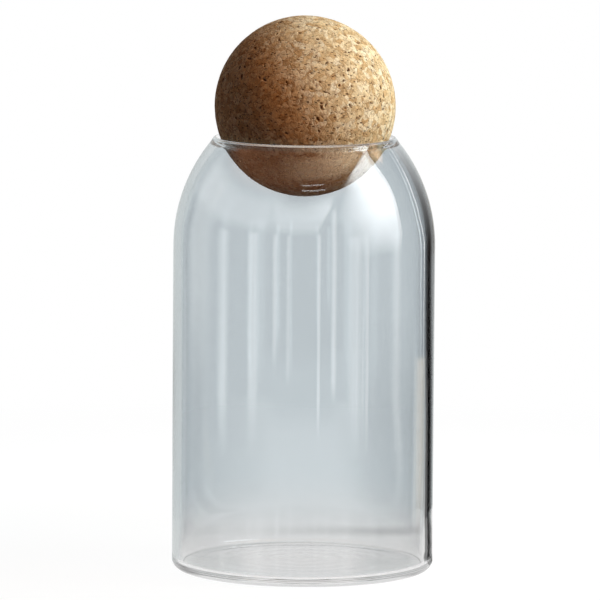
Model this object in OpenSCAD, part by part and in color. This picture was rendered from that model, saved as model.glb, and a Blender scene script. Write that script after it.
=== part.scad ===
// Storage canister: a one-piece blown-glass jar with a domed shoulder, closed by a cork ball
// that rests loose in its mouth.
// Millimetres, +Z up. The origin is the middle of the base, on the surface that the jar stands on.

/* [Glass jar] */
// Outside diameter of the straight body
jar_od = 100; // [84:1:140]
// Height from the standing surface to the top of the lip
jar_h = 166; // [130:1:260]
// Thickness of the wall, the same from the heel to the lip
wall = 3; // [2:0.1:5]
// Outside radius of the arc that draws the wall in to the mouth
shoulder_r = 62.5; // [55:0.5:90]
// Clear diameter of the mouth
mouth_d = 64; // [50:0.5:72]
// Rounding of the fire-polished edges of the lip
lip_round = 0.9; // [0.5:0.1:1.2]
// How far the polished lip swells on either side of the wall
lip_swell = 0.2; // [0.1:0.1:0.4]

/* [Base] */
// Height of the inside floor above the standing surface
base_t = 3; // [2:0.1:8]
// Outside radius of the heel, where the wall turns into the base
heel_r = 3.5; // [2:0.5:8]
// Inside radius where the wall turns into the floor
floor_r = 2; // [1:0.5:10]
// Width of the flat ring that the jar stands on
ring_w = 6; // [3:0.5:12]
// Height of the hollow in the middle of the base
hollow_h = 0.4; // [0.2:0.1:1.5]

/* [Cork ball] */
// How much wider than the mouth the ball is, so that it can't fall in
ball_over = 5; // [3:0.5:30]
// Gap between the ball and the lip that it rests on
seat_gap = 0.25; // [0.1:0.05:0.5]

/* [Hidden] */
$fn = 180;

glass_colour = [0.74, 0.79, 0.83, 0.5];
cork_colour = [0.76, 0.57, 0.37];

// Straight body, and the lip: how thick it is, how far it runs down the wall, and how far from
// the shoulder's axis its inner and outer roundings are
body_r = jar_od / 2;
shoulder_axis_r = body_r - shoulder_r;
lip_t = wall + 2 * lip_swell;
lip_h = 3 * lip_round;
lip_in = shoulder_r - wall - lip_swell + lip_round;
lip_out = shoulder_r + lip_swell - lip_round;

// The shoulder arc starts tangent to the body and sweeps up until the lip leaves the clear mouth
lip_reach = sqrt(pow(lip_in, 2) + pow(lip_round, 2));
mouth_reach = mouth_d / 2 + lip_round - shoulder_axis_r;
shoulder_sweep = atan2(lip_round, lip_in) + acos(mouth_reach / lip_reach);
shoulder_z = jar_h - lip_round - lip_out * sin(shoulder_sweep) + lip_round * cos(shoulder_sweep);

// The hollow under the base is a shallow cap of a large sphere, inside the standing ring
hollow_edge_r = body_r - heel_r - ring_w;
hollow_sphere_r = (pow(hollow_edge_r, 2) + pow(hollow_h, 2)) / (2 * hollow_h);
hollow_steps = 2000;

// The ball's centre is where the ball, less its gap, touches the lip's inner rounding all the way round
ball_r = (mouth_d + ball_over) / 2;
seat_r = mouth_d / 2 + lip_round;
seat_z = shoulder_z + lip_in * sin(shoulder_sweep) - lip_round * cos(shoulder_sweep);
ball_z = seat_z + sqrt(pow(ball_r + seat_gap + lip_round, 2) - pow(seat_r, 2));

// Half of the jar's form in section, from the axis out, drawn in by the same inset all over:
// the dome of the shoulder arc, the straight side, the rounded corner and the floor within it
module half_form(inset, bottom_z, corner_r) {
    side_r = body_r - inset;
    dome_r = shoulder_r - inset;
    side_h = shoulder_z - bottom_z - corner_r;
    translate([0, shoulder_z]) {
        intersection() {
            translate([shoulder_axis_r, 0])
                circle(dome_r);
            square([side_r, dome_r]);
        }
        translate([0, -side_h]) {
            square([side_r, side_h]);
            translate([side_r - corner_r, 0])
                circle(corner_r);
            translate([0, -corner_r])
                square([side_r - corner_r, corner_r]);
        }
    }
}

// A rectangle from the origin, with its corners rounded
module rounded_square(width, height, corner_r) {
    translate([corner_r, 0])
        square([width - 2 * corner_r, height]);
    translate([0, corner_r])
        square([width, height - 2 * corner_r]);
    for (x = [corner_r, width - corner_r], y = [corner_r, height - corner_r])
        translate([x, y])
            circle(corner_r);
}

// Section through the glass on one side of the axis: the form less its inside, cut off at the mouth,
// with the hollow under the base and the swollen lip on the cut
module glass_section() {
    difference() {
        half_form(0, 0, heel_r);
        half_form(wall, base_t, floor_r);
        translate([shoulder_axis_r, shoulder_z])
            rotate(shoulder_sweep)
                translate([0, -lip_h / 2])
                    square(2 * shoulder_r);
        translate([0, hollow_h - hollow_sphere_r])
            circle(hollow_sphere_r, $fn = hollow_steps);
    }
    translate([shoulder_axis_r, shoulder_z])
        rotate(shoulder_sweep)
            translate([shoulder_r - wall - lip_swell, -lip_h])
                rounded_square(lip_t, lip_h, lip_round);
}

module glass_jar() {
    color(glass_colour)
        rotate_extrude()
            glass_section();
}

module cork_ball() {
    color(cork_colour)
        translate([0, 0, ball_z])
            sphere(ball_r);
}

glass_jar();
cork_ball();
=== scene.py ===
import math
from typing import NamedTuple

import bpy
import numpy as np
from mathutils import Matrix, Vector, kdtree


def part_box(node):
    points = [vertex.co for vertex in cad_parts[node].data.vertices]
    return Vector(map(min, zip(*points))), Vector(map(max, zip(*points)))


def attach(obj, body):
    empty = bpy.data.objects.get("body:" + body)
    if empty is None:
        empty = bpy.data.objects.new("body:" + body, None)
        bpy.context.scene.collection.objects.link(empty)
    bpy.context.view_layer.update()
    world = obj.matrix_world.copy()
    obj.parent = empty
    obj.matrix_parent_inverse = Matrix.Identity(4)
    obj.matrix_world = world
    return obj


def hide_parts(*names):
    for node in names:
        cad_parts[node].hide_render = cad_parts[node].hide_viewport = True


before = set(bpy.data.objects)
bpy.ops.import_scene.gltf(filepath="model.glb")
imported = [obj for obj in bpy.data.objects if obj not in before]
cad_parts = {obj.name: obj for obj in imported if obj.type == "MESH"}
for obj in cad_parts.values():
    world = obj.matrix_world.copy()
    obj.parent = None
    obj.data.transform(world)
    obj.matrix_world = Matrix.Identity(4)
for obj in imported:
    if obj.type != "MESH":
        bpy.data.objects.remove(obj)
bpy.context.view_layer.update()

# A storage canister: a blown-glass jar with a domed shoulder and a cork ball in its mouth.
# Metres, +Z up, origin in the middle of the base.

SEED = 20
jar_low, jar_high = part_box("glass_jar")
ball_low, ball_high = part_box("cork_ball")

# Glass, as in the part's own source
BODY_R = jar_high.x
JAR_H = jar_high.z
WALL = 0.003
SHOULDER_R = 0.0625
MOUTH_R = 0.032
LIP_ROUND = 0.0009
LIP_SWELL = 0.0002
LIP_H = 3 * LIP_ROUND
BASE_T = 0.003
HEEL_R = 0.0035
INNER_FLOOR_R = 0.002
RING_W = 0.006
HOLLOW_H = 0.0004

SHOULDER_AXIS_R = BODY_R - SHOULDER_R
INNER_SHOULDER_R = SHOULDER_R - WALL
LIP_IN = INNER_SHOULDER_R - LIP_SWELL + LIP_ROUND
LIP_OUT = SHOULDER_R + LIP_SWELL - LIP_ROUND
LIP_REACH = math.hypot(LIP_IN, LIP_ROUND)
SHOULDER_SWEEP = math.atan2(LIP_ROUND, LIP_IN)
SHOULDER_SWEEP += math.acos((MOUTH_R + LIP_ROUND - SHOULDER_AXIS_R) / LIP_REACH)
LIP_RISE = LIP_OUT * math.sin(SHOULDER_SWEEP) - LIP_ROUND * math.cos(SHOULDER_SWEEP)
SHOULDER_Z = JAR_H - LIP_ROUND - LIP_RISE
HOLLOW_EDGE_R = BODY_R - HEEL_R - RING_W
HOLLOW_SPHERE_R = (HOLLOW_EDGE_R ** 2 + HOLLOW_H ** 2) / (2 * HOLLOW_H)

# Steps of the jar's mesh: round the jar, and along each run of its section
GLASS_TURNS = 288
HOLLOW_STEPS = 12
RING_STEPS = 5
HEEL_STEPS = 14
SIDE_STEPS = 36
SHOULDER_STEPS = 30
SWELL_STEPS = 10
LIP_STEPS = 12
FILLET_STEPS = 16
FLOOR_STEPS = 58
SAME_POINT = 1e-7

# Waviness of the blown wall, which dies away near the heel and the lip, and the rings on its floor
OUTER_RIPPLE = 0.00003
INNER_RIPPLE = 0.00004
OUTER_WAVES = 7
INNER_WAVES = 9
WAVE_COUNTS = (1, 8)
WAVE_RISE = 60.0
WAVE_CREST = 0.6
RIPPLE_FADE = 0.012
FLOOR_RINGS = 0.000012
FLOOR_RING_STEP = 0.008

# Look of the glass. Light that stays caught in the wall after many reflections passes straight on.
GLASS_IOR = 1.47
GLASS_TINT = (0.750, 0.789, 0.808)
GLASS_BASE_TINT = (0.835, 0.835, 0.835)
TINT_LOW_Z = 0.008
TINT_HIGH_Z = 0.032
CAUGHT_DEPTH = 3.5
CAUGHT_TINT = (0.90, 0.90, 0.90)
# Painted shade: near the lip, caught light takes a grey-brown like the cork seen in the rim, which
# darkens the rim line
CAUGHT_LIP_TINT = (0.56, 0.49, 0.43)
LIP_LOW_Z = 0.112
LIP_HIGH_Z = 0.130
GLASS_SHADOW = (0.93, 0.94, 0.95)
SMEAR = 0.02
SMEAR_SCALE = 45.0
SMEAR_DETAIL = 3.0
SMEAR_RANGE = (0.45, 0.75)

# Cork ball: its grid, its pressed granules and its pores
BALL_R = (ball_high.z - ball_low.z) / 2
BALL_Z = (ball_high.z + ball_low.z) / 2
BALL_GRID = 128
GRAIN_COUNT = 5200
GRAIN_HEIGHT = 0.00007
GRAIN_LEVELS = (-1.0, 0.3)
GRAIN_SEAM_W = 0.0003
GRAIN_SEAM_DEPTH = 1.2
PIT_COUNT = 420
PIT_R = (0.00040, 0.00072)
PIT_SHRINK = (0.6, 1.0)
PIT_DEPTH = (0.0002, 0.00045)
PIT_STRETCH = (1.2, 2.8)

# Look of the cork. Scales are cells to a metre, and ranges are where a pattern begins and ends.
WARP_SCALE = 420.0
WARP_DETAIL = 3.0
WARP_SIZE = (0.0016, 0.0016, 0.0016)
GRAIN_SCALE = 450.0
GRAIN_SHADES = (
    (0.0, (0.64, 0.41, 0.20)),
    (0.15, (0.76, 0.54, 0.29)),
    (0.4, (0.86, 0.66, 0.39)),
    (0.7, (0.95, 0.77, 0.50)),
    (1.0, (1.0, 0.86, 0.61)),
)
CRUMB_SCALE = 1250.0
CRUMB_LEVEL = (0.80, 1.13)
FINE_SCALE = 1700.0
FINE_DETAIL = 4.0
FINE_RANGE = (0.3, 0.7)
FINE_LEVEL = (0.78, 1.17)
PATCH_SCALE = 330.0
PATCH_DETAIL = 2.0
SEAM_EDGE = (0.01, 0.10)
SEAM_PATCH = (0.38, 0.56)
SEAM_SHARE = 0.66
SEAM_BROWN = (0.32, 0.17, 0.07)
FIBRE_SCALE = 1000.0
FIBRE_EDGE = (0.03, 0.16)
FIBRE_PATCH = (0.52, 0.62)
FIBRE_SHARE = 0.85
PORE_BROWN = (0.10, 0.048, 0.022)
PORE_RANGE = (0.2, 0.5)
FRAY_RANGE = (0.35, 0.65)
FRAY_LEVEL = (0.5, 1.5)
FLECK_TURNS = ((0.6, 0.3, 0.0), (-0.5, 0.9, 1.1), (1.9, -0.4, 0.5))
FLECK_SCALE = (520.0, 1250.0, 1250.0)
FLECK_SHARE = 0.11
FLECK_EDGE = (0.2, 0.42)
FLECK_DARK = 0.9
CORK_ROUGH = (0.78, 0.95)
CORK_GLOSS = 0.2
CRUMB_RISE = 0.6
SEAM_SINK = 0.4
BUMP_STRENGTH = 0.55
BUMP_DEPTH = 0.00025

# Camera, fitted to the photograph
CAMERA_TARGET = (-0.00147, 0.0, 0.10334)
CAMERA_ORBIT_Z = 0.1
CAMERA_DISTANCE = 2.520
CAMERA_ELEVATION = 7.06
CAMERA_ROLL = 0.38
CAMERA_LENS = 395.6
CAMERA_SENSOR = 36.0
CAMERA_NEAR = 0.05
CAMERA_FAR = 50.0

# Lamps, which only light matt surfaces
LAMP_DISTANCE = 1.0
LAMP_SIZE = (0.45, 0.6)
KEY_AZIMUTH = 85.0
KEY_ELEVATION = 28.0
KEY_POWER = 12.3
KEY_COLOUR = (0.68, 0.935, 1.0)
WARM_AZIMUTH = 56.0
WARM_ELEVATION = 32.0
WARM_POWER = 4.3
WARM_COLOUR = (1.0, 0.39, 0.10)
BACK_AZIMUTH = 182.0
BACK_ELEVATION = 6.0
BACK_POWER = 3.0
BACK_COLOUR = (1.0, 0.98, 0.95)
AMBIENT = (0.072, 0.046, 0.037)
WHITE = (1.0, 1.0, 1.0)
# The depth of a ray is a whole number, so a test lies half a step below one
HALF_STEP = 0.5

# Floor: how much it glows and how matt it is, by the distance from the jar's axis
FLOOR_R = 1.6
FLOOR_Z = -0.0003
FLOOR_SIDES = 96
FLOOR_BOUNCE = (0.10, 0.045, 0.03)
GLOW_REACH = (0.1, 0.5)
GLOW_LEVEL = (0.90, 1.0)
MATT_REACH = (0.2, 0.45)
MATT_LEVEL = (0.15, 0.0)
# Painted shade: a grey line painted into the floor's glow, which only shows through the glass and stands
# for the table's far edge. It is stronger at the right.
EDGE_Y = 0.092
EDGE_HALF_W = 0.02
EDGE_SHARE = (0.06, 0.31)
EDGE_X = (-0.02, 0.036)

# Cards that the glass mirrors: the dark room, the soft box and the strips of light in it
CARD_CELLS = 40
CARD_LIFT = 0.0004
DEEP_DEPTH = 2.5
DEEP_GREY = (0.5, 0.5, 0.5)
ROOM_H = 1.4
ROOM_HALF = 140.0
ROOM_GREY = (0.10, 0.11, 0.13)
ROOM_WARM = (1.10, 0.42, 0.20)
VEIL = (3.9, 2.55, 1.6)
CARD_WHITE = (1.0, 1.0, 1.0)
CARD_GREY = (0.60, 0.63, 0.63)
CARD_BEIGE = (0.82, 0.67, 0.50)
CARD_BLACK = (0.0, 0.0, 0.0)
# How far the cards stand from the jar's axis. Those that overlap stand at different distances.
ROOM_R = 0.56
ROOM_HIGH_R = ROOM_R - 0.005
GROUND_END_R = ROOM_R + 0.005
BOX_R = 0.54
BALL_LINE_R = BOX_R - 0.005
WARM_R = BOX_R + 0.003
UNDER_RIGHT_R = BOX_R + 0.004
UNDER_BALL_R = BOX_R + 0.005
LEFT_GLOW_R = BOX_R + 0.008
LEFT_WALL_R = BOX_R + 0.012
DEEP_FLAG_R = 0.158
FLAG_R = 0.16
FLANK_R = 0.165
SHADE_R = 0.168
GREY_R = 0.17

# Heights with the two azimuths of a card there
SOFT_BOX = (
    (0.078, 35.0, 90.0),
    (0.16, 33.0, 94.5),
    (0.24, 31.0, 95.0),
    (0.357, 31.0, 97.5),
    (0.417, 34.0, 98.5),
    (0.48, 38.0, 98.0),
    (0.547, 44.0, 98.5),
    (0.618, 45.0, 99.5),
    (0.68, 54.0, 103.0),
    (0.705, 58.0, 105.0),
    (0.73, 67.0, 101.0),
    (0.75, 75.0, 95.0),
    (0.77, 83.0, 88.0),
)
# How far the soft box fades at its left, at each of its rows
BOX_FADE = (30.0, 36.0, 40.0, 42.0, 36.0, 30.0, 24.0, 18.0, 11.0, 8.0, 6.0, 5.0, 3.0)
RIM_STRIP = (
    (0.0, 127.4, 128.4),
    (0.10, 126.3, 127.3),
    (0.17, 123.1, 124.1),
    (0.25, 123.7, 124.7),
    (0.34, 128.7, 129.7),
    (0.42, 136.0, 137.0),
)
UNDER_BALL = (
    (0.22, -28.0, 13.0),
    (0.33, -32.0, 19.0),
    (0.42, -35.0, 27.0),
    (0.56, -39.0, 34.0),
)
UNDER_RIGHT = (
    (0.28, 0.0, 16.0),
    (0.33, 0.0, 19.0),
    (0.42, 0.0, 27.0),
    (0.54, 0.0, 33.0),
)
TALL_STRIP = (
    (0.0, 22.9, 28.3),
    (0.24, 22.9, 28.3),
    (0.43, 25.8, 31.8),
)
FLAG = (
    (0.0, 127.0, 149.0),
    (0.045, 126.0, 149.0),
    (0.075, 122.5, 149.0),
    (0.22, 122.5, 149.0),
)
WARM_SIDE = (
    (0.51, 106.0, 125.0),
    (0.66, 106.0, 128.0),
)
# On the floor: distances with the two azimuths
GROUND_RIGHT = (
    (0.06, 20.0, 88.0),
    (0.08, 22.0, 102.0),
    (0.10, 24.0, 109.0),
    (0.125, 26.0, 115.0),
    (0.16, 28.0, 121.0),
    (0.30, 30.0, 133.0),
    (0.565, 30.0, 140.0),
)
FLAG_FOOT = (
    (0.052, 86.0, 112.0),
    (0.06, 93.0, 120.0),
    (0.08, 110.0, 136.0),
    (0.10, 118.0, 142.0),
    (0.125, 123.5, 146.5),
    (0.16, 127.0, 149.0),
)
RIM_FOOT = (
    (0.12, 98.0, 113.0),
    (0.15, 102.5, 118.5),
    (0.21, 107.7, 124.6),
    (0.318, 111.5, 128.9),
    (0.55, 114.8, 132.7),
)
STRIP_FOOT = (
    (0.20, 79.5, 92.5),
    (0.33, 83.0, 96.0),
    (0.45, 82.0, 95.0),
    (0.55, 80.5, 93.5),
)
# Where the painted shade at the lower right runs over the floor
SHADE_FOOT = (
    (0.09, 143.5, 161.5),
    (0.13, 152.5, 167.0),
    (0.168, 156.5, 172.0),
)
GREY_FOOT = (
    (0.052, -172.0, -82.0),
    (0.06, -172.0, -89.0),
    (0.08, -172.0, -104.0),
    (0.10, -172.0, -110.0),
    (0.17, -172.0, -117.0),
)

# Strips of light: middle azimuth, width in degrees, strength, foot and top height.
# Each stands a little behind the one before. One that reaches the floor runs on over it, in to
# STRIP_NEAR, where STRIP_LEAN of its azimuth is left.
STRIPS = (
    (12.7, 3.4, 1.5, 0.0, 0.24),
    (45.4, 3.0, 1.7, 0.0, 0.21),
    (55.0, 4.0, 1.9, 0.0, 0.21),
    (45.0, 16.0, 1.05, 0.0, 0.21),
    (-13.2, 3.5, 1.1, 0.008, 0.235),
    (-24.7, 4.4, 1.4, 0.0145, 0.235),
    (-44.5, 11.0, 1.25, 0.0, 0.235),
    (-74.0, 12.0, 1.0, 0.0, 0.22),
)
STRIP_R = 0.55
STRIP_STEP = 0.0005
STRIP_POWER = 1.45
STRIP_TOP_FADE = 0.02
STRIP_NEAR = 0.36
STRIP_LEAN = 0.975
STRIP_FLOOR_FADE = 0.19

# The two short lines on the glass in front of the ball: the heights of their cards
BALL_LINES = (0.593, 0.658)
BALL_LINE_HALF = 0.009
BALL_LINE_AZIMUTHS = (-4.0, 23.5)


class Card(NamedTuple):
    """A card that the glass mirrors, bent round the jar.
    Its rows give a height and the two azimuths that it spans there. With no distance it lies on the
    floor, and its rows give distances. Fade is how far it fades at the left and right, in degrees, and
    at the first and last row, in metres; the left one may differ by row. It shows after least_depth
    reflections, and an outer card only shows in the outer face of the glass. Lift raises the card."""

    name: str
    rows: tuple
    colour: tuple
    strength: float = 1.0
    distance: float = 0.0
    fade: tuple = (0.0, 0.0, 0.0, 0.0)
    least_depth: int = 1
    outer: bool = False
    lift: float = 0.0


def add_node(tree, kind, settings=None, inputs=None):
    """A new node; inputs are values or the sockets that feed them."""
    made = tree.nodes.new(kind)
    for name, value in (settings or {}).items():
        setattr(made, name, value)
    for name, value in (inputs or {}).items():
        if isinstance(value, bpy.types.NodeSocket):
            tree.links.new(value, made.inputs[name])
        else:
            made.inputs[name].default_value = value
    return made


def math_node(tree, operation, first, second=0.0, clamp=False):
    """The result of a sum on one or two numbers."""
    settings = {"operation": operation, "use_clamp": clamp}
    return add_node(tree, "ShaderNodeMath", settings, {0: first, 1: second}).outputs[0]


def mix_colours(tree, factor, first, second, blend="MIX"):
    """Two colours mixed by a factor."""
    made = add_node(tree, "ShaderNodeMix", {"data_type": "RGBA", "blend_type": blend}, {0: factor})
    for place, value in ((6, first), (7, second)):
        if isinstance(value, bpy.types.NodeSocket):
            tree.links.new(value, made.inputs[place])
        else:
            made.inputs[place].default_value = (*value, 1.0)
    return made.outputs[2]


def map_range(tree, value, low, high, to_low=0.0, to_high=1.0, smooth=False):
    """A number carried from one range to another, held at the ends."""
    kind = "SMOOTHSTEP" if smooth else "LINEAR"
    made = add_node(
        tree,
        "ShaderNodeMapRange",
        {"interpolation_type": kind},
        {"Value": value, "From Min": low, "From Max": high, "To Min": to_low, "To Max": to_high},
    )
    return made.outputs[0]


def noise(tree, place, scale, detail):
    """Smooth noise."""
    inputs = {"Vector": place, "Scale": scale, "Detail": detail}
    return add_node(tree, "ShaderNodeTexNoise", inputs=inputs).outputs


def cells(tree, place, scale, feature="F1"):
    """A pattern of cells."""
    inputs = {"Vector": place, "Scale": scale}
    return add_node(tree, "ShaderNodeTexVoronoi", {"feature": feature}, inputs).outputs


def cell_number(tree, pattern):
    """A random number for each cell of a pattern."""
    return add_node(tree, "ShaderNodeSeparateColor", inputs={"Color": pattern["Color"]}).outputs[0]


def grey(tree, level):
    """A grey of that level."""
    return add_node(tree, "ShaderNodeCombineColor", inputs={0: level, 1: level, 2: level}).outputs[0]


def object_place(tree):
    """The place on the object, in metres."""
    return add_node(tree, "ShaderNodeTexCoord").outputs["Object"]


def join_shaders(tree, kind, first, second, inputs=None):
    """Two shaders mixed or added."""
    made = add_node(tree, kind, inputs=inputs)
    shaders = [socket for socket in made.inputs if socket.type == "SHADER"]
    tree.links.new(first.outputs[0], shaders[0])
    tree.links.new(second.outputs[0], shaders[1])
    return made


def new_material(name):
    """An empty node material and its output node."""
    material = bpy.data.materials.new(name)
    material.use_nodes = True
    material.node_tree.nodes.clear()
    output = material.node_tree.nodes.new("ShaderNodeOutputMaterial")
    return material, material.node_tree, output


def new_object(name, points, faces, material):
    """A mesh object in the row frame, with one material and smooth shading."""
    mesh = bpy.data.meshes.new(name)
    mesh.from_pydata([tuple(p) for p in points], [], faces)
    mesh.update()
    mesh.polygons.foreach_set("use_smooth", [True] * len(mesh.polygons))
    made = bpy.data.objects.new(name, mesh)
    bpy.context.scene.collection.objects.link(made)
    made.data.materials.append(material)
    return made


def arc(centre, radius, start, end, steps):
    """Points on an arc in the section, ends included."""
    angles = np.linspace(start, end, steps)
    return [(centre[0] + radius * math.cos(a), centre[1] + radius * math.sin(a)) for a in angles]


def line(start, end, steps):
    """Points on a straight run in the section, ends included."""
    return [
        (start[0] + (end[0] - start[0]) * t, start[1] + (end[1] - start[1]) * t)
        for t in np.linspace(0.0, 1.0, steps)
    ]


def lip_corner(radius):
    """Centre of the rounding at that distance from the shoulder's axis, in the section."""
    across = math.cos(SHOULDER_SWEEP)
    up = math.sin(SHOULDER_SWEEP)
    return (
        SHOULDER_AXIS_R + radius * across + LIP_ROUND * up,
        SHOULDER_Z + radius * up - LIP_ROUND * across,
    )


def shoulder_run(radius, lip_side):
    """The shoulder's arc from the body up to the lip, where it swells out to the lip's side."""
    end = SHOULDER_SWEEP - math.atan2(LIP_ROUND, lip_side)
    swell = math.hypot(lip_side, LIP_ROUND) - radius
    start = end - LIP_H / radius
    plain = np.linspace(0.0, start, SHOULDER_STEPS)
    swollen = np.linspace(start, end, SWELL_STEPS)[1:]
    points = []
    for angle in np.concatenate([plain, swollen]):
        t = max(0.0, (angle - start) / (end - start))
        reach = radius + swell * t * t * (3 - 2 * t)
        points.append((SHOULDER_AXIS_R + reach * math.cos(angle), SHOULDER_Z + reach * math.sin(angle)))
    return points


def floor_rings(edge_r):
    """The floor inside, from its edge in to the axis, with the faint rings of a blown base."""
    points = []
    for r in np.linspace(edge_r, 0.0, FLOOR_STEPS):
        fade = min(1.0, (edge_r - r) / FLOOR_RING_STEP, r / FLOOR_RING_STEP)
        wave = math.sin(2 * math.pi * r / FLOOR_RING_STEP)
        points.append((r, BASE_T + FLOOR_RINGS * fade * wave))
    return points


def glass_section():
    """The jar's closed section, from the axis under the base round to the axis on the floor inside."""
    quarter = math.pi / 2
    lip_top = SHOULDER_SWEEP + quarter
    inner_r = BODY_R - WALL
    fillet_r = inner_r - INNER_FLOOR_R
    fillet_z = BASE_T + INNER_FLOOR_R
    hollow = [
        (r, HOLLOW_H - HOLLOW_SPHERE_R + math.sqrt(HOLLOW_SPHERE_R ** 2 - r ** 2))
        for r in np.linspace(0.0, HOLLOW_EDGE_R, HOLLOW_STEPS)
    ]
    runs = [
        hollow,
        line((HOLLOW_EDGE_R, 0.0), (BODY_R - HEEL_R, 0.0), RING_STEPS),
        arc((BODY_R - HEEL_R, HEEL_R), HEEL_R, -quarter, 0.0, HEEL_STEPS),
        line((BODY_R, HEEL_R), (BODY_R, SHOULDER_Z), SIDE_STEPS),
        shoulder_run(SHOULDER_R, SHOULDER_R + LIP_SWELL),
        arc(lip_corner(LIP_OUT), LIP_ROUND, SHOULDER_SWEEP, lip_top, LIP_STEPS),
        arc(lip_corner(LIP_IN), LIP_ROUND, lip_top, SHOULDER_SWEEP + 2 * quarter, LIP_STEPS),
        shoulder_run(INNER_SHOULDER_R, INNER_SHOULDER_R - LIP_SWELL)[::-1],
        line((inner_r, SHOULDER_Z), (inner_r, fillet_z), SIDE_STEPS),
        arc((fillet_r, fillet_z), INNER_FLOOR_R, 0.0, -quarter, FILLET_STEPS),
        floor_rings(fillet_r),
    ]
    section = []
    for run in runs:
        for point in run:
            if not section or math.dist(section[-1], point) > SAME_POINT:
                section.append(point)
    return section


def ripple(rng, turn, height, waves):
    """A slow waviness over the wall, mostly between -1 and 1."""
    total = np.zeros_like(turn)
    for _ in range(waves):
        round_count = rng.integers(*WAVE_COUNTS)
        rise = rng.uniform(-WAVE_RISE, WAVE_RISE)
        phase = rng.uniform(0.0, 2 * math.pi)
        total += np.cos(round_count * turn + rise * height + phase)
    return total / math.sqrt(waves)


def wall_shift(ring, turns, heights):
    """How far the waviness moves each point of the wall. The outside only moves inwards."""
    rng = np.random.default_rng(SEED)
    outside = np.arange(len(ring)) < np.argmax(ring[:, 1])
    fade = np.clip((ring[:, 1] - HEEL_R) / RIPPLE_FADE, 0.0, 1.0)
    fade = fade * np.clip((JAR_H - WALL - ring[:, 1]) / RIPPLE_FADE, 0.0, 1.0)
    size = np.where(outside, OUTER_RIPPLE, INNER_RIPPLE) * fade
    outer_wave = ripple(rng, turns, heights, OUTER_WAVES)
    inner_wave = ripple(rng, turns, heights, INNER_WAVES)
    pressed = np.minimum(outer_wave, WAVE_CREST) - WAVE_CREST
    return size[:, None] * np.where(outside[:, None], pressed, inner_wave)


def make_glass(material):
    """The jar as one closed surface of revolution, with the slight waviness of blown glass."""
    section = np.array(glass_section())
    ring = section[1:-1]
    ahead = np.roll(section, -1, axis=0)[1:-1]
    behind = np.roll(section, 1, axis=0)[1:-1]
    along = ahead - behind
    out = np.stack([along[:, 1], -along[:, 0]], axis=1)
    out /= np.linalg.norm(out, axis=1)[:, None]
    turn = np.linspace(0.0, 2 * math.pi, GLASS_TURNS, endpoint=False)
    turns, heights = np.meshgrid(turn, ring[:, 1])
    shift = wall_shift(ring, turns, heights)
    radius = ring[:, :1] + out[:, :1] * shift
    z = ring[:, 1:] + out[:, 1:] * shift
    points = np.stack([radius * np.cos(turns), radius * np.sin(turns), z], axis=2).reshape(-1, 3)
    points = np.vstack([points, [[0.0, 0.0, section[0][1]], [0.0, 0.0, section[-1][1]]]])
    under = len(points) - 2
    inside = len(points) - 1
    top = (len(ring) - 1) * GLASS_TURNS
    faces = []
    for low in range(0, top, GLASS_TURNS):
        high = low + GLASS_TURNS
        for step in range(GLASS_TURNS):
            ahead_step = (step + 1) % GLASS_TURNS
            faces.append((low + step, low + ahead_step, high + ahead_step, high + step))
    for step in range(GLASS_TURNS):
        ahead_step = (step + 1) % GLASS_TURNS
        faces.append((under, ahead_step, step))
        faces.append((inside, top + step, top + ahead_step))
    return new_object("glass_jar_blown", points, faces, material)


def glass_material():
    """Clear glass with a grey-blue cast, paler and neutral near the base. Lamps shine through it."""
    material, tree, output = new_material("blown_glass")
    place = object_place(tree)
    height = add_node(tree, "ShaderNodeSeparateXYZ", inputs={"Vector": place}).outputs["Z"]
    rise = map_range(tree, height, TINT_LOW_Z, TINT_HIGH_Z, smooth=True)
    tint = mix_colours(tree, rise, GLASS_BASE_TINT, GLASS_TINT)
    cloud = noise(tree, place, SMEAR_SCALE, SMEAR_DETAIL)["Fac"]
    smear = map_range(tree, cloud, *SMEAR_RANGE, 0.0, SMEAR)
    glass = add_node(
        tree,
        "ShaderNodeBsdfPrincipled",
        inputs={
            "Base Color": tint,
            "Roughness": smear,
            "IOR": GLASS_IOR,
            "Transmission Weight": 1.0,
        },
    )
    path = add_node(tree, "ShaderNodeLightPath").outputs
    caught = math_node(tree, "GREATER_THAN", path["Glossy Depth"], CAUGHT_DEPTH)
    # Near the lip the caught light is tinted grey-brown: a painted shade standing for the cork seen in
    # the rim
    near_lip = map_range(tree, height, LIP_LOW_Z, LIP_HIGH_Z, smooth=True)
    trapped = mix_colours(tree, near_lip, CAUGHT_TINT, CAUGHT_LIP_TINT)
    let_through = mix_colours(tree, caught, GLASS_SHADOW, trapped)
    clear = add_node(tree, "ShaderNodeBsdfTransparent", inputs={"Color": let_through})
    through = math_node(tree, "MAXIMUM", path["Is Shadow Ray"], caught)
    both = join_shaders(tree, "ShaderNodeMixShader", glass, clear, {"Fac": through})
    tree.links.new(both.outputs[0], output.inputs["Surface"])
    return material


def cube_point(axis, side, first, second):
    """A place on one face of a cube."""
    place = [0.0, 0.0, 0.0]
    place[axis] = side
    place[(axis + 1) % 3] = first
    place[(axis + 2) % 3] = second
    return place


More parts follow.
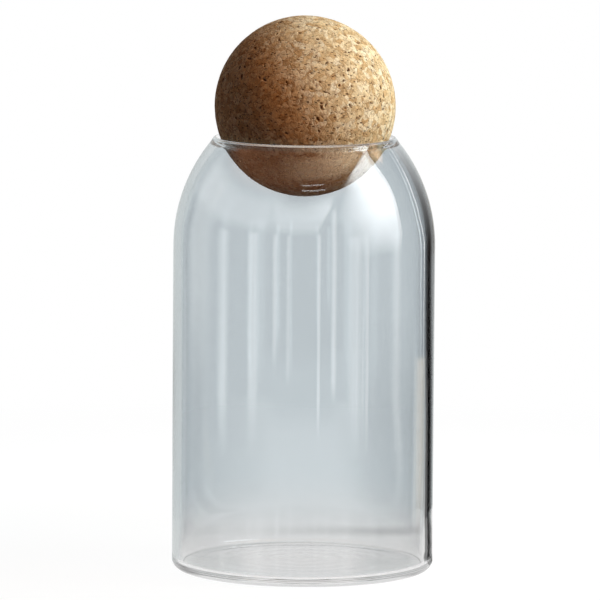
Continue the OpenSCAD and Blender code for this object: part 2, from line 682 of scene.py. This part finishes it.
def cube_sphere(steps):
    """Directions and quads of a cube's faces, cut into steps and blown up to a unit sphere."""
    corner = np.tan(np.linspace(-math.pi / 4, math.pi / 4, steps + 1))
    index = {}
    points = []
    faces = []

    def number(axis, side, i, j):
        """The point's number. A point on an edge of the cube is shared by its faces."""
        place = cube_point(axis, side, corner[i], corner[j])
        key = tuple(round(v, 7) for v in place)
        if key not in index:
            index[key] = len(points)
            points.append(place)
        return index[key]

    for axis in range(3):
        for side in (-1.0, 1.0):
            for i in range(steps + 1):
                for j in range(steps + 1):
                    number(axis, side, i, j)
            for i in range(steps):
                for j in range(steps):
                    ring = ((i, j), (i + 1, j), (i + 1, j + 1), (i, j + 1))
                    quad = [number(axis, side, a, b) for a, b in ring]
                    faces.append(tuple(quad if side > 0 else quad[::-1]))
    points = np.array(points)
    return points / np.linalg.norm(points, axis=1)[:, None], faces


def random_directions(rng, count):
    """Directions spread evenly at random."""
    spread = rng.normal(size=(count, 3))
    return spread / np.linalg.norm(spread, axis=1)[:, None]


def ball_tree(ways):
    """The places on the ball in those directions, to look up by nearness."""
    tree = kdtree.KDTree(len(ways))
    for place, way in enumerate(ways):
        tree.insert(Vector(way) * BALL_R, place)
    tree.balance()
    return tree


def cork_relief(rng, ways):
    """Height of the pressed granules and depth of the pores, at each direction."""
    tree = ball_tree(ways)
    grain_tree = ball_tree(random_directions(rng, GRAIN_COUNT))
    levels = rng.uniform(*GRAIN_LEVELS, GRAIN_COUNT)
    height = np.zeros(len(ways))
    for place, way in enumerate(ways):
        near = grain_tree.find_n(Vector(way) * BALL_R, 2)
        gap = near[1][2] - near[0][2]
        seam = max(0.0, 1.0 - gap / GRAIN_SEAM_W)
        height[place] = GRAIN_HEIGHT * (levels[near[0][1]] - GRAIN_SEAM_DEPTH * seam)
    pit = np.zeros(len(ways))
    for way in random_directions(rng, PIT_COUNT):
        radius = rng.uniform(*PIT_R) * rng.uniform(*PIT_SHRINK)
        depth = rng.uniform(*PIT_DEPTH)
        stretch = rng.uniform(*PIT_STRETCH)
        side = np.cross(way, random_directions(rng, 1)[0])
        side /= np.linalg.norm(side)
        other = np.cross(way, side)
        centre = way * BALL_R
        for point, place, _ in tree.find_range(Vector(centre), radius * stretch):
            offset = np.array(point) - centre
            reach = math.hypot(offset @ side / stretch, offset @ other) / radius
            if reach < 1.0:
                pit[place] = max(pit[place], depth * (1.0 - reach ** 2))
    return height, pit


def make_cork(material):
    """The ball, its granules a little uneven and its pores sunk into it."""
    rng = np.random.default_rng(SEED + 1)
    ways, faces = cube_sphere(BALL_GRID)
    height, pit = cork_relief(rng, ways)
    points = ways * (BALL_R + np.minimum(height, 0.0) - pit)[:, None]
    points[:, 2] += BALL_Z
    ball = new_object("cork_ball_pressed", points, faces, material)
    pore = ball.data.attributes.new("pore", "FLOAT", "POINT")
    pore.data.foreach_set("value", np.clip(pit / PIT_DEPTH[1], 0.0, 1.0))
    return ball


def shade_ramp(tree, value, shades):
    """A colour picked by a number between 0 and 1."""
    ramp = add_node(tree, "ShaderNodeValToRGB", inputs={"Fac": value})
    stops = ramp.color_ramp.elements
    while len(stops) < len(shades):
        stops.new(0.5)
    for stop, (at, shade) in zip(stops, shades):
        stop.position = at
        stop.color = (*shade, 1.0)
    return ramp.outputs["Color"]


def cork_flecks(tree, place, dark):
    """The darkness with thin dark flecks added, which lie several ways."""
    for turn in FLECK_TURNS:
        inputs = {"Vector": place, "Rotation": turn, "Scale": FLECK_SCALE}
        laid = add_node(tree, "ShaderNodeMapping", inputs=inputs).outputs[0]
        fleck = cells(tree, laid, 1.0)
        some = math_node(tree, "LESS_THAN", cell_number(tree, fleck), FLECK_SHARE)
        close = map_range(tree, fleck["Distance"], *FLECK_EDGE, FLECK_DARK, 0.0)
        dark = math_node(tree, "MAXIMUM", dark, math_node(tree, "MULTIPLY", some, close))
    return dark


def cork_material():
    """Pressed cork: tan granules of several browns, dark pores and fine fibres."""
    material, tree, output = new_material("pressed_cork")
    place = object_place(tree)
    bend = noise(tree, place, WARP_SCALE, WARP_DETAIL)["Color"]
    inputs = {0: bend, 1: WARP_SIZE, 2: place}
    bent = add_node(tree, "ShaderNodeVectorMath", {"operation": "MULTIPLY_ADD"}, inputs).outputs[0]
    grain = cell_number(tree, cells(tree, bent, GRAIN_SCALE))
    shades = shade_ramp(tree, grain, GRAIN_SHADES)
    crumb = cell_number(tree, cells(tree, bent, CRUMB_SCALE))
    fine = noise(tree, place, FINE_SCALE, FINE_DETAIL)["Fac"]
    crumb_level = map_range(tree, crumb, 0.0, 1.0, *CRUMB_LEVEL)
    fine_level = map_range(tree, fine, *FINE_RANGE, *FINE_LEVEL)
    level = math_node(tree, "MULTIPLY", crumb_level, fine_level)
    grained = mix_colours(tree, 1.0, shades, grey(tree, level), "MULTIPLY")

    patch = noise(tree, place, PATCH_SCALE, PATCH_DETAIL)["Fac"]
    grain_edge = cells(tree, bent, GRAIN_SCALE, "DISTANCE_TO_EDGE")["Distance"]
    grain_seam = map_range(tree, grain_edge, *SEAM_EDGE, 1.0, 0.0)
    grain_seam = math_node(tree, "MULTIPLY", grain_seam, map_range(tree, patch, *SEAM_PATCH))
    fibre_edge = cells(tree, bent, FIBRE_SCALE, "DISTANCE_TO_EDGE")["Distance"]
    fibre = map_range(tree, fibre_edge, *FIBRE_EDGE, 1.0, 0.0)
    fibre = math_node(tree, "MULTIPLY", fibre, map_range(tree, patch, *FIBRE_PATCH, 0.0, FIBRE_SHARE))
    seam = math_node(tree, "MAXIMUM", grain_seam, fibre)
    seamed = mix_colours(tree, math_node(tree, "MULTIPLY", seam, SEAM_SHARE), grained, SEAM_BROWN)

    pore = add_node(tree, "ShaderNodeAttribute", {"attribute_name": "pore"}).outputs["Fac"]
    frayed = math_node(tree, "MULTIPLY", pore, map_range(tree, fine, *FRAY_RANGE, *FRAY_LEVEL))
    dark = cork_flecks(tree, bent, map_range(tree, frayed, *PORE_RANGE))
    colour = mix_colours(tree, dark, seamed, PORE_BROWN)

    rough = map_range(tree, fine, *FINE_RANGE, *CORK_ROUGH)
    sunk = math_node(tree, "ADD", dark, math_node(tree, "MULTIPLY", seam, SEAM_SINK))
    relief = math_node(tree, "SUBTRACT", math_node(tree, "MULTIPLY", level, CRUMB_RISE), sunk)
    inputs = {"Height": relief, "Strength": BUMP_STRENGTH, "Distance": BUMP_DEPTH}
    bump = add_node(tree, "ShaderNodeBump", inputs=inputs).outputs[0]
    cork = add_node(
        tree,
        "ShaderNodeBsdfPrincipled",
        inputs={
            "Base Color": colour,
            "Roughness": rough,
            "Normal": bump,
            "Specular IOR Level": CORK_GLOSS,
        },
    )
    tree.links.new(cork.outputs[0], output.inputs["Surface"])
    return material


def around(azimuth, distance, height):
    """A place round the jar: degrees to the right of the side that faces the camera."""
    turn = math.radians(azimuth)
    return Vector((distance * math.sin(turn), -distance * math.cos(turn), height))


def make_camera():
    """The camera at the photograph's viewing angle."""
    tilt = math.radians(CAMERA_ELEVATION)
    roll = math.radians(CAMERA_ROLL)
    back = CAMERA_DISTANCE * math.cos(tilt)
    place = Vector((0.0, -back, CAMERA_ORBIT_Z + CAMERA_DISTANCE * math.sin(tilt)))
    ahead = (Vector(CAMERA_TARGET) - place).normalized()
    level = ahead.cross(Vector((0.0, 0.0, 1.0))).normalized()
    upright = level.cross(ahead)
    right = level * math.cos(roll) + upright * math.sin(roll)
    up = upright * math.cos(roll) - level * math.sin(roll)
    turn = Matrix((right, up, -ahead)).transposed().to_4x4()
    data = bpy.data.cameras.new("camera")
    data.sensor_width = CAMERA_SENSOR
    data.lens = CAMERA_LENS
    data.clip_start = CAMERA_NEAR
    data.clip_end = CAMERA_FAR
    camera = bpy.data.objects.new("camera", data)
    camera.matrix_world = Matrix.Translation(place) @ turn
    bpy.context.scene.collection.objects.link(camera)
    bpy.context.scene.camera = camera


def seen_directly(tree):
    """1 for what is seen, also through glass or in a reflection, and 0 for light on a matt surface."""
    path = add_node(tree, "ShaderNodeLightPath").outputs
    seen = math_node(tree, "ADD", path["Is Camera Ray"], path["Is Glossy Ray"], clamp=True)
    seen = math_node(tree, "ADD", seen, path["Is Transmission Ray"], clamp=True)
    first = math_node(tree, "LESS_THAN", path["Diffuse Depth"], HALF_STEP)
    return math_node(tree, "MULTIPLY", seen, first)


def make_world():
    """White to look at, and a dim warm ambient on matt surfaces."""
    world = bpy.data.worlds.new("studio")
    bpy.context.scene.world = world
    world.use_nodes = True
    tree = world.node_tree
    tree.nodes.clear()
    output = tree.nodes.new("ShaderNodeOutputWorld")
    colour = mix_colours(tree, seen_directly(tree), AMBIENT, WHITE)
    sky = add_node(tree, "ShaderNodeBackground", inputs={"Color": colour, "Strength": 1.0})
    tree.links.new(sky.outputs[0], output.inputs["Surface"])


def make_floor():
    """A plain white floor that runs out into the white behind it, and takes a soft shadow."""
    material, tree, output = new_material("white_floor")
    place = object_place(tree)
    reach = add_node(tree, "ShaderNodeVectorMath", {"operation": "LENGTH"}, {0: place}).outputs["Value"]
    seen = seen_directly(tree)
    glow = map_range(tree, reach, *GLOW_REACH, *GLOW_LEVEL, smooth=True)
    glow = math_node(tree, "MULTIPLY", glow, seen)
    flat = add_node(tree, "ShaderNodeSeparateXYZ", inputs={"Vector": place}).outputs
    # Painted shade: the floor's glow is dimmed along a grey line, only for rays through the glass,
    # standing for the table's far edge
    off = math_node(tree, "ABSOLUTE", math_node(tree, "SUBTRACT", flat["Y"], EDGE_Y))
    edge = map_range(tree, off, 0.0, EDGE_HALF_W, 1.0, 0.0, smooth=True)
    share = map_range(tree, flat["X"], *EDGE_X, *EDGE_SHARE)
    through = add_node(tree, "ShaderNodeLightPath").outputs["Is Transmission Ray"]
    dim = math_node(tree, "MULTIPLY", math_node(tree, "MULTIPLY", edge, share), through)
    glow = math_node(tree, "MULTIPLY", glow, math_node(tree, "SUBTRACT", 1.0, dim))
    shine = add_node(tree, "ShaderNodeEmission", inputs={"Strength": glow})
    matt_level = map_range(tree, reach, *MATT_REACH, *MATT_LEVEL, smooth=True)
    paint = mix_colours(tree, seen, FLOOR_BOUNCE, grey(tree, matt_level))
    matt = add_node(tree, "ShaderNodeBsdfDiffuse", inputs={"Color": paint})
    both = join_shaders(tree, "ShaderNodeAddShader", shine, matt)
    tree.links.new(both.outputs[0], output.inputs["Surface"])
    rim = [around(360.0 * side / FLOOR_SIDES, FLOOR_R, FLOOR_Z) for side in range(FLOOR_SIDES)]
    floor = new_object("floor", rim, [tuple(range(FLOOR_SIDES))], material)
    material.cycles.emission_sampling = "NONE"


def card_material(plan):
    """A card's look: its colour in a reflection, and a plain grey deep in the glass.
    A black card stays black there."""
    material, tree, output = new_material(plan.name)
    path = add_node(tree, "ShaderNodeLightPath").outputs
    mirrored = math_node(tree, "GREATER_THAN", path["Glossy Depth"], plan.least_depth - HALF_STEP)
    if plan.outer:
        unbent = math_node(tree, "LESS_THAN", path["Transmission Depth"], HALF_STEP)
        mirrored = math_node(tree, "MULTIPLY", mirrored, unbent)
    level = add_node(tree, "ShaderNodeAttribute", {"attribute_name": "level"}).outputs["Fac"]
    shown = math_node(tree, "MULTIPLY", mirrored, level)
    lit = tuple(channel * plan.strength for channel in plan.colour)
    deep = math_node(tree, "GREATER_THAN", path["Glossy Depth"], DEEP_DEPTH)
    shade = mix_colours(tree, deep, lit, DEEP_GREY if plan.strength else lit)
    shine = add_node(tree, "ShaderNodeEmission", inputs={"Color": shade})
    none = add_node(tree, "ShaderNodeBsdfTransparent")
    both = join_shaders(tree, "ShaderNodeMixShader", none, shine, {"Fac": shown})
    tree.links.new(both.outputs[0], output.inputs["Surface"])
    material.cycles.emission_sampling = "NONE"
    return material


def hide_from_light(card):
    """Only reflections and refractions meet the card."""
    card.visible_camera = False
    card.visible_diffuse = False
    card.visible_shadow = False
    card.visible_volume_scatter = False


def card_points(plan):
    """The points of a card, row by row, and how strongly it shows at each."""
    steps, lefts, rights = (np.array(column) for column in zip(*plan.rows))
    fade_left = np.broadcast_to(plan.fade[0], len(plan.rows))
    points = []
    levels = []
    for step in np.linspace(steps[0], steps[-1], CARD_CELLS + 1):
        left = np.interp(step, steps, lefts)
        right = np.interp(step, steps, rights)
        fades = (np.interp(step, steps, fade_left), *plan.fade[1:])
        for azimuth in np.linspace(left, right, CARD_CELLS + 1):
            if plan.distance:
                points.append(around(azimuth, plan.distance, step))
            else:
                points.append(around(azimuth, step, CARD_LIFT))
            level = 1.0
            edges = (azimuth - left, right - azimuth, step - steps[0], steps[-1] - step)
            for edge, fade in zip(edges, fades):
                if fade:
                    level *= min(1.0, edge / fade)
            levels.append(level)
    return points, levels


def make_card(plan):
    """A card of the studio, which only the glass shows."""
    points, levels = card_points(plan)
    row = CARD_CELLS + 1
    faces = []
    for i in range(CARD_CELLS):
        for j in range(CARD_CELLS):
            a = i * row + j
            faces.append((a, a + 1, a + row + 1, a + row))
    card = new_object(plan.name, points, faces, card_material(plan))
    data = card.data.attributes.new("level", "FLOAT", "POINT")
    data.data.foreach_set("value", levels)
    hide_from_light(card)
    card.location.z = plan.lift


def make_lamp(name, azimuth, elevation, power, colour):
    """A soft lamp aimed at the cork, which only matt surfaces see."""
    data = bpy.data.lights.new(name, "AREA")
    data.shape = "RECTANGLE"
    data.size, data.size_y = LAMP_SIZE
    data.energy = power
    data.color = colour
    lamp = bpy.data.objects.new(name, data)
    rise = math.radians(elevation)
    target = Vector((0.0, 0.0, BALL_Z))
    place = around(azimuth, LAMP_DISTANCE * math.cos(rise), BALL_Z + LAMP_DISTANCE * math.sin(rise))
    lamp.location = place
    lamp.rotation_mode = "QUATERNION"
    lamp.rotation_quaternion = (target - place).to_track_quat("-Z", "Y")
    lamp.visible_camera = False
    lamp.visible_glossy = False
    lamp.visible_transmission = False
    bpy.context.scene.collection.objects.link(lamp)


def straight(first, last, left, right):
    """Rows of a card whose sides keep their azimuths."""
    return ((first, left, right), (last, left, right))


def room_cards():
    """The dark room with its warm upper part, its floor, and the soft box."""
    return [
        Card("room", straight(0.0, ROOM_H, -ROOM_HALF, ROOM_HALF), ROOM_GREY, distance=ROOM_R),
        Card(
            "ground_front", straight(0.46, ROOM_R, -36.0, 36.0), ROOM_GREY,
            fade=(14.0, 14.0, 0.1, 0.0), lift=-CARD_LIFT / 2,
        ),
        Card(
            "room_high", straight(0.50, ROOM_H, -ROOM_HALF, ROOM_HALF), ROOM_WARM,
            distance=ROOM_HIGH_R, fade=(0.0, 0.0, 0.2, 0.0),
        ),
        Card("room_top", straight(0.0, ROOM_R, -180.0, 180.0), ROOM_WARM, lift=ROOM_H),
        Card("ground_right", GROUND_RIGHT, ROOM_GREY, fade=(34.0, 6.0, 0.05, 0.0)),
        Card(
            "ground_left", straight(0.07, GROUND_END_R, -ROOM_HALF, -28.0), ROOM_GREY,
            fade=(6.0, 50.0, 0.08, 0.0),
        ),
        Card(
            "soft_box", SOFT_BOX, CARD_WHITE, 9.0,
            distance=BOX_R, fade=(BOX_FADE, 0.6, 0.26, 0.05),
        ),
    ]


def strip_cards():
    """The strips of light, and what runs on of them over the floor."""
    made = []
    for place, (azimuth, width, strength, foot, top) in enumerate(STRIPS):
        ends = (azimuth - width / 2, azimuth + width / 2)
        sides = (width / 4, width / 4)
        power = STRIP_POWER * strength
        made.append(
            Card(
                f"strip_{place}", straight(foot, top, *ends), CARD_WHITE, power,
                distance=STRIP_R + STRIP_STEP * place, fade=(*sides, foot, STRIP_TOP_FADE),
            )
        )
        if foot:
            continue
        near = [STRIP_LEAN * end for end in ends]
        made.append(
            Card(
                f"strip_foot_{place}", ((STRIP_NEAR, *near), (STRIP_R, *ends)), CARD_WHITE, power,
                fade=(*sides, STRIP_FLOOR_FADE, 0.0), lift=CARD_LIFT * (2 - place / len(STRIPS)),
            )
        )
    return made


def edge_cards():
    """What shows at the jar's edges: the dark and pale lines at the right, and the greys beside them;
    also black cards that paint shade under the ball and at the lower right.
    """
    return [
        Card("rim_strip", RIM_STRIP, CARD_WHITE, 7.0, distance=BOX_R, fade=(0.2, 0.2, 0.08, 0.04)),
        Card("flag", FLAG, CARD_BLACK, 0.0, distance=FLAG_R, fade=(1.5, 9.5, 0.0, 0.11)),
        Card(
            "flank", straight(0.0, 0.245, 122.0, 156.0), CARD_WHITE, 0.5,
            distance=FLANK_R, fade=(2.0, 12.0, 0.0, 0.11), least_depth=0,
        ),
        Card(
            "flag_deep", straight(0.0, 0.20, 136.0, 168.0), CARD_BLACK, 0.0,
            distance=DEEP_FLAG_R, fade=(2.0, 10.0, 0.0, 0.09), least_depth=3,
        ),
        Card("flag_foot", FLAG_FOOT, CARD_BLACK, 0.0, fade=(1.5, 9.5, 0.0, 0.0), lift=CARD_LIFT),
        Card("rim_foot", RIM_FOOT, CARD_BEIGE, fade=(1.0, 2.0, 0.12, 0.0), lift=CARD_LIFT),
        Card(
            "rim_patch", straight(0.0, 0.0155, 114.8, 132.7), CARD_BEIGE,
            distance=STRIP_R, fade=(1.0, 2.0, 0.0, 0.002),
        ),
        # Painted shade: black cards, seen through the glass and on the floor behind it, darken the lower
        # right of the jar
        Card(
            "right_shade", straight(3 * CARD_LIFT, 0.08, 156.5, 172.0), CARD_BLACK, 0.0,
            distance=SHADE_R, fade=(2.0, 75.0, 0.0, 0.04), least_depth=0,
        ),
        Card(
            "shade_foot", SHADE_FOOT, CARD_BLACK, 0.0,
            fade=(2.0, 75.0, 0.04, 0.0), least_depth=0, lift=2 * CARD_LIFT,
        ),
        # Painted shade: a black card behind the jar, seen through the glass, darkens the glass under the
        # ball; it stays when the ball is lifted
        Card(
            "ball_shade", straight(0.1178, 0.137, 175.0, 185.5), CARD_BLACK, 0.0,
            distance=SHADE_R, fade=(4.5, 3.5, 0.042, 0.012), least_depth=0,
        ),
        Card(
            "wide_strip", straight(0.0, 0.19, 80.5, 93.5), CARD_WHITE, 1.7,
            distance=STRIP_R, fade=(6.0, 6.0, 0.0, 0.03),
        ),
        Card("wide_strip_foot", STRIP_FOOT, CARD_WHITE, 1.7, fade=(6.0, 6.0, 0.25, 0.0), lift=CARD_LIFT),
        Card(
            "grey_right", straight(0.0, 0.30, 138.0, 172.0), CARD_GREY, 1.3,
            distance=GREY_R, fade=(0.0, 4.0, 0.0, 0.16),
        ),
        Card(
            "grey_left", straight(0.0, 0.32, -172.0, -117.0), CARD_GREY, 1.2,
            distance=GREY_R, fade=(4.0, 4.0, 0.0, 0.16),
        ),
        Card("grey_foot", GREY_FOOT, CARD_GREY, 1.2, fade=(4.0, 4.0, 0.0, 0.0), lift=CARD_LIFT),
    ]


def shoulder_cards():
    """What shows on the shoulder and at the left: warm light from above, and soft white glows."""
    made = [
        Card(
            "veil", straight(0.72, 1.39, -45.0, 112.0), VEIL,
            distance=WARM_R, fade=(112.0, 15.0, 0.1, 0.0),
        ),
        Card(
            "warm_side", WARM_SIDE, VEIL, 1.1,
            distance=WARM_R, fade=(2.0, 4.0, 0.04, 0.02),
        ),
        Card(
            "left_wall", straight(0.0, 0.32, -126.0, -86.0), CARD_WHITE, 0.9,
            distance=LEFT_WALL_R, fade=(16.0, 8.0, 0.05, 0.05),
        ),
    ]
    for place, height in enumerate(BALL_LINES):
        rows = straight(height - BALL_LINE_HALF, height + BALL_LINE_HALF, *BALL_LINE_AZIMUTHS)
        made.append(
            Card(
                f"ball_line_{place}", rows, CARD_WHITE, 6.0,
                distance=BALL_LINE_R, fade=(2.0, 2.0, 0.002, 0.002), outer=True,
            )
        )
    made += [
        Card(
            "under_ball", UNDER_BALL, CARD_WHITE, 1.75,
            distance=UNDER_BALL_R, fade=(8.0, 4.0, 0.06, 0.14),
        ),
        Card(
            "under_right", UNDER_RIGHT, CARD_WHITE, 3.2,
            distance=UNDER_RIGHT_R, fade=(22.0, 4.0, 0.1, 0.1),
        ),
        Card(
            "tall_strip", TALL_STRIP, CARD_WHITE, 2.5,
            distance=STRIP_R, fade=(1.8, 1.8, 0.012, 0.06),
        ),
        Card(
            "left_glow", straight(0.22, 0.54, -134.0, -24.0), CARD_WHITE, 1.5,
            distance=LEFT_GLOW_R, fade=(20.0, 12.0, 0.07, 0.12),
        ),
        Card(
            "left_streak", straight(0.24, 0.50, -109.0, -101.0), CARD_WHITE, 1.6,
            distance=BOX_R, fade=(3.0, 3.0, 0.06, 0.08),
        ),
    ]
    return made


make_camera()
make_world()
make_floor()
make_lamp("key", KEY_AZIMUTH, KEY_ELEVATION, KEY_POWER, KEY_COLOUR)
make_lamp("warm", WARM_AZIMUTH, WARM_ELEVATION, WARM_POWER, WARM_COLOUR)
make_lamp("back", BACK_AZIMUTH, BACK_ELEVATION, BACK_POWER, BACK_COLOUR)
for card_plan in room_cards() + strip_cards() + edge_cards() + shoulder_cards():
    make_card(card_plan)

glass = make_glass(glass_material())
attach(glass, "jar")
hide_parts("glass_jar")

cork = make_cork(cork_material())
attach(cork, "stopper")
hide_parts("cork_ball")

bpy.context.scene.view_settings.view_transform = "Standard"
